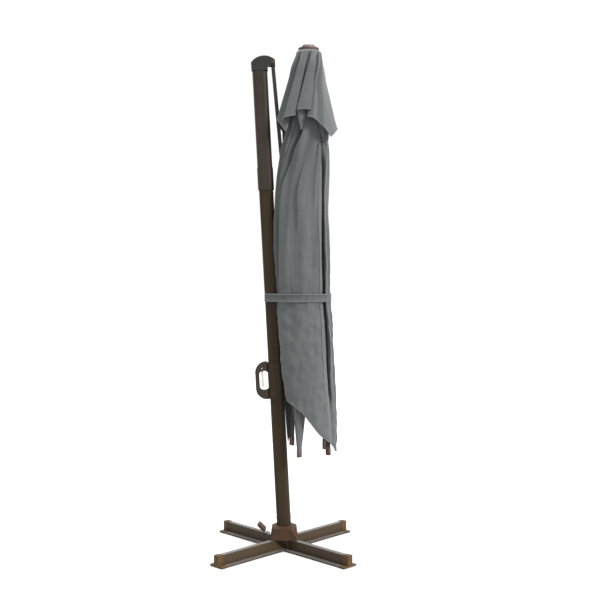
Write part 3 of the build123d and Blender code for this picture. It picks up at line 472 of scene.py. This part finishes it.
# The folded cloth is one sheet. At each height it runs from the open channel for the mast, round the front,
# the outer side and the back, to the channel again. Each control point is (angle, inset); the lips where the
# cloth doubles back are the points whose angle is less than that of the point before.
STRAP_Z = 1329.5
FOLDS = (
    (2600, [
        (216, 20), (212, 6), (222, 3), (232, 14), (230, 8), (228, 2), (240, 0), (258, 14), (256, 8),
        (254, 1), (266, 0), (277, 2), (288, 0), (298, 1), (306, 1), (311, 4), (316, 14), (321, 3),
        (330, 0), (338, 5), (346, 0), (354, 5), (363, 0), (382, 9), (396, 0), (416, 0), (434, 2),
        (442, 14), (450, 2), (476, 0), (494, 0), (508, 6), (504, 20),
    ]),
    (2200, [
        (218, 34), (213, 8), (220, 12), (246, 52), (242, 24), (231, 2), (244, 6), (279, 54), (276, 22),
        (267, 0), (276, 0), (286, 1), (296, 0), (305, 3), (310, 6), (315, 30), (323, 80), (331, 76),
        (338, 64), (344, 44), (349, 18), (356, 12), (364, 3), (384, 16), (396, 1), (416, 0), (434, 2),
        (442, 30), (451, 3), (476, 0), (496, 1), (507, 8), (502, 28),
    ]),
    (2097, [
        (213, 34), (207, 5), (212, 12), (236, 52), (232, 26), (221, 2), (233, 6), (266, 58), (264, 24),
        (252, 0), (264, 2), (276, 9), (289, 0), (300, 7), (309, 2), (314, 12), (320, 26), (326, 9),
        (333, 1), (340, 9), (348, 1), (355, 9), (364, 1), (384, 18), (396, 2), (416, 0), (434, 2),
        (442, 38), (451, 3), (476, 0), (497, 1), (508, 7), (503, 28),
    ]),
    (1903, [
        (211, 40), (200, -6), (205, 16), (226, 50), (221, 30), (209, 6), (216, 14), (246, 60),
        (238, 26), (222, 0), (240, 2), (256, 9), (273, 0), (290, 8), (304, 0), (309, 2), (344, 36),
        (325, 4), (331, 0), (339, 10), (348, 0), (355, 9), (364, 1), (384, 20), (396, 2), (416, 0),
        (433, 2), (442, 44), (452, 3), (476, 0), (498, 1), (510, 6), (504, 28),
    ]),
    (1571, [
        (211, 40), (199.5, -6), (203, 18), (222, 50), (217, 34), (207, 12), (213, 20), (244, 60),
        (234, 26), (216, 0), (234, 2), (252, 10), (271, 0), (290, 7), (306, 0), (308.5, 2), (348, 50),
        (327, 4), (333, 0), (340, 12), (348, 0), (354, 12), (365, 1), (384, 22), (396, 2), (416, 0),
        (432, 2), (442, 52), (453, 3), (476, 0), (499, 1), (512, 6), (505, 28),
    ]),
    (1330, [
        (210, 34), (200, -3), (203, 14), (220, 28), (215, 22), (206, 12), (214, 11), (248, 26),
        (230, 16), (206, 3), (226, 1), (248, 6), (270, 0), (291, 4), (307, 0), (309, 2), (347, 46),
        (325, 3), (331, 0), (339, 7), (348, 0), (355, 6), (365, 1), (384, 14), (396, 1), (416, 0),
        (432, 1), (441, 32), (452, 2), (476, 0), (499, 1), (512, 6), (505, 26),
    ]),
    (1100, [
        (211, 40), (204, 10), (206, 20), (222, 44), (217, 32), (208, 17), (216, 18), (250, 44),
        (232, 20), (206, 0), (224, 0), (246, 4), (268, 1), (290, 1), (305, 0), (308.5, 2), (348, 50),
        (327, 4), (334, 0), (341, 12), (349, 0), (355, 12), (366, 1), (385, 22), (397, 2), (417, 0),
        (433, 2), (442, 52), (453, 3), (477, 0), (498, 1), (511, 6), (504, 28),
    ]),
    (900, [
        (213, 36), (207, 13), (208, 18), (223, 36), (218, 28), (210, 17), (218, 15), (252, 36),
        (235, 18), (206, 3), (224, 0), (246, 3), (267, 2), (289, 0), (304, 1), (309, 3), (338, 34),
        (327, 4), (335, 0), (342, 12), (350, 0), (356, 12), (366, 2), (386, 22), (398, 3), (418, 0),
        (434, 2), (443, 46), (453, 4), (477, 1), (497, 2), (510, 8), (502, 28),
    ]),
    (760, [
        (220, 36), (214, 14), (215, 18), (228, 36), (224, 28), (216, 18), (224, 16), (258, 34),
        (242, 18), (220, 2), (234, 0), (251, 1), (268, 3), (286, 0), (301, 2), (313, 5), (326, 18),
        (330, 7), (338, 0), (345, 10), (350, 1), (357, 8), (367, 2), (386, 18), (398, 3), (418, 0),
        (434, 3), (443, 34), (453, 5), (476, 2), (494, 3), (506, 10), (498, 28),
    ]),
    (500, [
        (240, 36), (236, 16), (238, 20), (248, 34), (244, 28), (238, 20), (244, 18), (264, 30),
        (252, 18), (240, 4), (252, 0), (262, 0), (272, 1), (288, 0), (304, 1), (314, 3), (323, 7),
        (331, 5), (338, 1), (344, 4), (350, 1), (357, 6), (367, 3), (384, 12), (396, 4), (414, 1),
        (430, 4), (440, 20), (450, 6), (468, 4), (480, 6), (492, 12), (486, 26),
    ]),
)
FOLDS_HEM = (
    920, 890, 880, 870, 860, 850, 840, 830, 815, 797, 778, 744, 684, 626, 594, 576, 562, 545, 524, 556,
    580, 640, 690, 770, 690, 600, 600, 680, 720, 770, 810, 840, 900,
)
SHEET_TOP = 2600.0
SMOOTH_TOP = 260.0  # below the top, over which the creases grow to full size
MOST_PROUD = 7.0  # the furthest that the curve between control points may swell out
POCKET_INSET = 6.0  # deeper cloth is inside a fold, where creases are held flat
POCKET_CALM = 0.3
KEY_STEP = 5.0
KEY_STEPS = 421


def folded_sheet(name, columns=620, rows=230):
    """The main cloth from top to hem, as rows of points round the bundle, and its mesh."""
    points = []
    hem_table = np.array([[height] for height in FOLDS_HEM], float)
    hem = [float(spline(hem_table, c / columns)[0]) for c in range(columns + 1)]
    for r in range(rows + 1):
        row = []
        for c in range(columns + 1):
            z = SHEET_TOP + (hem[c] - SHEET_TOP) * r / rows
            controls = key_table(z)
            angle, inset = spline(controls, c / columns)
            place = on_bundle(angle, max(inset, -MOST_PROUD), z)
            outward = Vector((place.x - section(z)[0] * MM, place.y, 0)).normalized()
            ease = min(1.0, (SHEET_TOP - z) / SMOOTH_TOP)
            calm = 1.0 if inset < POCKET_INSET else POCKET_CALM
            fine = 3.4 if z < STRAP_Z else 2.0
            push = crumple(place, fine, 5.0) * ease * calm + gathers(angle, z) * calm
            row.append(place + outward * push * MM)
        points.append(row)
    return grid_mesh(name, points, LOOKS["cloth"], lengths_along(points[rows // 2])), points


KEY_TABLE = [key_at(FOLDS, SHEET_TOP - KEY_STEP * k) for k in range(KEY_STEPS)]


def key_table(z):
    """The control points at a height, between those worked out at every step."""
    place = min(max((SHEET_TOP - z) / KEY_STEP, 0.0), KEY_STEPS - 1.001)
    i = int(place)
    return KEY_TABLE[i] + (KEY_TABLE[i + 1] - KEY_TABLE[i]) * (place - i)


# The whole canopy is cut 3 m square. Only the outer folds of the imported bundle are modelled here,
# and the sheet's own flat size is under a quarter of the canopy's 9 square metres.
front, front_points = folded_sheet("canopy_folds")
dress(front, front_points)


# ---------------------------------------------------------------- flaps round the two inner corner ribs
FLAP_TOP = 0.98
FLAP_TIP_X = 0.011  # from the rib's low side to the flap's tip
FLAP_TIP_WIDTH = 0.014


def rib_flap(name, rib, spread, low_z, shift=0.0):
    """A pointed corner of the cloth, folded round a rib and drawn down to its shoe."""
    low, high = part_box(rib)
    side = -1 if low[1] + high[1] < 0 else 1
    tip_y = low[1] if side < 0 else high[1]
    top_x = high[0] * 0.25 + low[0] * 0.75
    points = []
    rows, columns = 50, 26
    for r in range(rows + 1):
        t = r / rows
        z = FLAP_TOP + (low_z - FLAP_TOP) * t
        x = top_x + (low[0] + FLAP_TIP_X - top_x) * t + shift
        y = tip_y * (0.78 + 0.2 * t)
        width = spread * (1 - t) ** 0.8 + FLAP_TIP_WIDTH
        row = []
        for c in range(columns + 1):
            s = c / columns * 2 - 1
            bend = width * 0.45 * (1 - abs(s) ** 1.6)
            ripple = 0.006 * (1 - t) * math.sin(s * 9 + z * 8)
            droop = 0.07 * (1 - t) * s + 0.03 * abs(s) * t
            place = Vector((x + s * width * 0.5, y + side * (bend * 0.4 + ripple), z - droop))
            row.append(place + Vector((0, side, 0)) * crumple(place, 2.0, 2.0) * MM)
        points.append(row)
    piece = grid_mesh(name, points, LOOKS["cloth"], [c / columns * spread for c in range(columns + 1)])
    dress(piece, points)


rib_flap("canopy_corner_front", "rib_corner_inner_front", 0.085, 0.54)
rib_flap("canopy_corner_rear", "rib_corner_inner_rear", 0.085, 0.58, -0.014)

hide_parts("main_canopy")

# ---------------------------------------------------------------- vent tier
# Hem points (x, y, z) of the square upper tier as it hangs in pleats, from the mast side round the front.
# Each pleat has an outer face and a return that dives behind it.
VENT_HEM = (
    (-26, -52, 2248), (-36, -64, 2253), (8, -96, 2190), (22, -78, 2226), (-2, -70, 2250),
    (-2, -112, 2256), (30, -122, 2263), (58, -126, 2269), (66, -74, 2276), (58, -66, 2284),
    (72, -132, 2297), (104, -138, 2298), (139, -137, 2297), (146, -84, 2290), (122, -76, 2284),
    (122, -136, 2262), (150, -146, 2253), (176, -126, 2240), (210, -140, 2206), (243, -116, 2160),
    (262, -84, 2182), (278, -48, 2206), (262, 0, 2240), (270, 40, 2230), (276, 84, 2212),
    (250, 108, 2198), (206, 128, 2228), (176, 96, 2256), (166, 92, 2266), (150, 136, 2262),
    (104, 136, 2280), (74, 132, 2284), (72, 84, 2276), (62, 82, 2268), (40, 126, 2246), (4, 106, 2190),
    (-32, 68, 2246), (-26, 54, 2250),
)
VENT_ARC = (206, 154 + 360)
CROWN_X = 129.0
RING_FOOT = 2618.0
RING_RADIUS = 52.0
SHOULDER = 15.0  # how far the cloth bulges just under the ring


def vent_points(rows=90, per_side=10):
    """Rows from the round top to the pleated hem. The pleats start just under the ring and deepen."""
    hem = np.array(VENT_HEM, float)
    count = (len(hem) - 1) * per_side
    reach = np.hypot(hem[:, 0] - CROWN_X, hem[:, 1])
    depth = reach - np.convolve(np.pad(reach, 2, mode="edge"), np.ones(5) / 5, mode="valid")
    rows_out = []
    for r in range(rows + 1):
        t = r / rows
        row = []
        for c in range(count + 1):
            place = c / per_side
            i = min(int(place), len(hem) - 2)
            f = place - i
            f = 0.5 * f + 0.5 * f * f * (3 - 2 * f)
            foot = hem[i] + (hem[i + 1] - hem[i]) * f
            dip = depth[i] + (depth[i + 1] - depth[i]) * f
            angle = math.radians(VENT_ARC[0] + (VENT_ARC[1] - VENT_ARC[0]) * c / count)
            outward = np.array((math.cos(angle), math.sin(angle), 0.0))
            top = np.array((CROWN_X, 0.0, RING_FOOT)) + RING_RADIUS * outward
            shoulder = SHOULDER * min(1.0, t / 0.03) * (1.0 - min(1.0, t / 0.4))
            opening = min(1.0, t / 0.3)
            early = 1.05 * dip * opening * opening * (3.0 - 2.0 * opening) * (1.0 - t)
            point = top + (foot - top) * t + outward * (shoulder + early)
            place_m = Vector(point * MM)
            row.append(place_m + Vector(outward) * crumple(place_m, 1.2, 1.6) * MM * t)
        rows_out.append(row)
    return rows_out


vent_rows = vent_points()
vent = grid_mesh("vent_tier", vent_rows, LOOKS["cloth"], lengths_along(vent_rows[-1]))
dress(vent, vent_rows)
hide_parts("vent_canopy")


def tongue(name, top, foot, width, lean):
    """A narrow pointed end of a pleat that shows below the upper tier."""
    rows, columns = 30, 12
    points = []
    for r in range(rows + 1):
        t = r / rows
        half = width * 0.5 * (1 - t**2.2) + 0.0015
        row = []
        for c in range(columns + 1):
            s = c / columns * 2 - 1
            centre = Vector(top).lerp(Vector(foot), t)
            bow = 0.010 * (1 - s * s) * (1 - 0.5 * t)
            row.append(centre + Vector((s * half, -bow + lean * s * half, -0.010 * abs(s) * t)))
        points.append(row)
    piece = grid_mesh(name, points, LOOKS["cloth"], [width * c / columns for c in range(columns + 1)])
    dress(piece, points)


tongue("pleat_end_front", (0.094, -0.110, 2.330), (0.090, -0.112, 2.206), 0.046, 0.3)
tongue("pleat_end_outer", (0.214, -0.072, 2.270), (0.222, -0.078, 2.108), 0.036, 0.6)
tongue("pleat_end_middle", (0.196, -0.086, 2.260), (0.204, -0.088, 2.150), 0.030, -0.3)

# ---------------------------------------------------------------- strap
strap_low, strap_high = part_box("strap")
strap_z = (strap_low[2] + strap_high[2]) / 2
strap_half = (strap_high[2] - strap_low[2]) / 2
# Across the webbing, (share of its half width, how far it stands out in metres): a sewn line near each edge
STRAP_PROFILE = (
    (-1.0, 0.0), (-0.92, 0.0012), (-0.8, 0.0016), (-0.74, 0.0), (0.0, 0.0004), (0.74, 0.0), (0.8, 0.0016),
    (0.92, 0.0012), (1.0, 0.0),
)
STRAP_THICKNESS = 0.0018
STRAP_ROLL = 0.0023
STRAP_ROLL_PLACE = 0.88  # of the half width
WRAP_ARC = (203, 203 + 314)


def normals(outline):
    """The outward direction at each (x, y) point of an outline."""
    last = len(outline) - 1
    for i in range(len(outline)):
        ahead, behind = outline[min(i + 1, last)], outline[max(i - 1, 0)]
        yield Vector((ahead[1] - behind[1], behind[0] - ahead[0], 0)).normalized()


def band(name, outline):
    """Flat webbing along an outline of (x, y) points in metres."""
    rows = []
    for height, lift in STRAP_PROFILE:
        row = []
        for i, ((x, y), normal) in enumerate(zip(outline, normals(outline))):
            ripple = 0.0008 * math.sin(i * 0.9)
            row.append(Vector((x, y, strap_z + height * strap_half)) + normal * (lift + ripple))
        rows.append(row)
    lengths = lengths_along(rows[0])
    return grid_mesh(name, rows, LOOKS["strap"], lengths, STRAP_THICKNESS), lengths[-1]


def hull_outline(angle_from, angle_to, count, grow):
    """Points round the bundle at the strap's height, a little outside its form."""
    centre, half_width, half_depth = section(strap_z / MM)
    out = []
    for k in range(count + 1):
        angle = math.radians(angle_from + (angle_to - angle_from) * k / count)
        x = centre + (half_width + grow) * math.cos(angle)
        out.append((x * MM, (half_depth + grow) * math.sin(angle) * MM))
    return out


def proud_line(outline, height, lift=0.0014):
    """The outline, pushed a little outward, at a height."""
    return [Vector((x, y, height)) + normal * lift for (x, y), normal in zip(outline, normals(outline))]


def mast_loop(count=60):
    """The strap's way from the bundle, round the mast and back, rear side first."""
    tangent_x, tangent_y = hull_outline(222, 223, 1, 6.5)[0]
    mast_x = strap_low[0] + 0.004
    corner_x, corner_y = mast_x + 0.020, 0.031
    half = [
        (tangent_x, tangent_y),
        (tangent_x * 0.62 + corner_x * 0.38, tangent_y * 0.62 - corner_y * 0.38),
        (tangent_x * 0.3 + corner_x * 0.7, tangent_y * 0.3 - corner_y * 0.7),
        (corner_x, -corner_y),
        (mast_x + 0.006, -0.024),
        (mast_x, -0.012),
    ]
    whole = np.array(half + [(mast_x, 0.0)] + [(x, -y) for x, y in reversed(half)])
    return [tuple(spline(whole, k / count)) for k in range(count, -1, -1)]


def strap_piece(name, outline):
    """A length of webbing with a roll along each edge, riding on the canopy."""
    piece, length = band(name, outline)
    reach = strap_half * STRAP_ROLL_PLACE
    rolls = [
        edging(f"{name}_edge_{k}", proud_line(outline, strap_z + side * reach), STRAP_ROLL)
        for k, side in enumerate((-1, 1))
    ]
    for each in (piece, *rolls):
        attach(each, "canopy")
    return [piece, *rolls]


strap_piece("strap_wrap", hull_outline(*WRAP_ARC, 150, 4.5))
loop_pieces = strap_piece("strap_loop", mast_loop())
for each in loop_pieces:
    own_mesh(each)
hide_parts("strap")

# ---------------------------------------------------------------- floor and light
FLOOR_X, FLOOR_NEAR, FLOOR_FAR, FLOOR_Z = 30, -12, 40, -0.002
floor_mesh = bpy.data.meshes.new("floor")
floor_corners = [(-FLOOR_X, FLOOR_NEAR), (FLOOR_X, FLOOR_NEAR), (FLOOR_X, FLOOR_FAR), (-FLOOR_X, FLOOR_FAR)]
floor_mesh.from_pydata([(x, y, FLOOR_Z) for x, y in floor_corners], [], [(0, 1, 2, 3)])
floor = bpy.data.objects.new("floor", floor_mesh)
bpy.context.collection.objects.link(floor)
paper = Nodes("floor_paper", 0.9, 0.0, 0.1)
paper.color(paper.ramp(paper.noise(2.0), ((0.0, (0.42, 0.42, 0.42)), (1.0, (0.44, 0.44, 0.44)))))
floor_mesh.materials.append(paper.material)

world = bpy.data.worlds.new("studio")
bpy.context.scene.world = world
world.use_nodes = True
world.node_tree.nodes["Background"].inputs["Color"].default_value = (1.0, 1.0, 1.0, 1.0)
world.node_tree.nodes["Background"].inputs["Strength"].default_value = 1.02


def soft_sun(name, direction, strength, spread):
    """A broad distant light, so the floor is evenly lit as far as the horizon."""
    lamp = bpy.data.lights.new(name, "SUN")
    lamp.energy = strength
    lamp.angle = math.radians(spread)
    light = bpy.data.objects.new(name, lamp)
    light.rotation_euler = Vector(direction).to_track_quat("Z", "Y").to_euler()
    bpy.context.collection.objects.link(light)


soft_sun("key", (0.85, -0.62, 0.75), 4.8, 14)
soft_sun("top", (-0.05, 0.1, 1.0), 4.6, 40)

bpy.context.scene.view_settings.view_transform = "Standard"
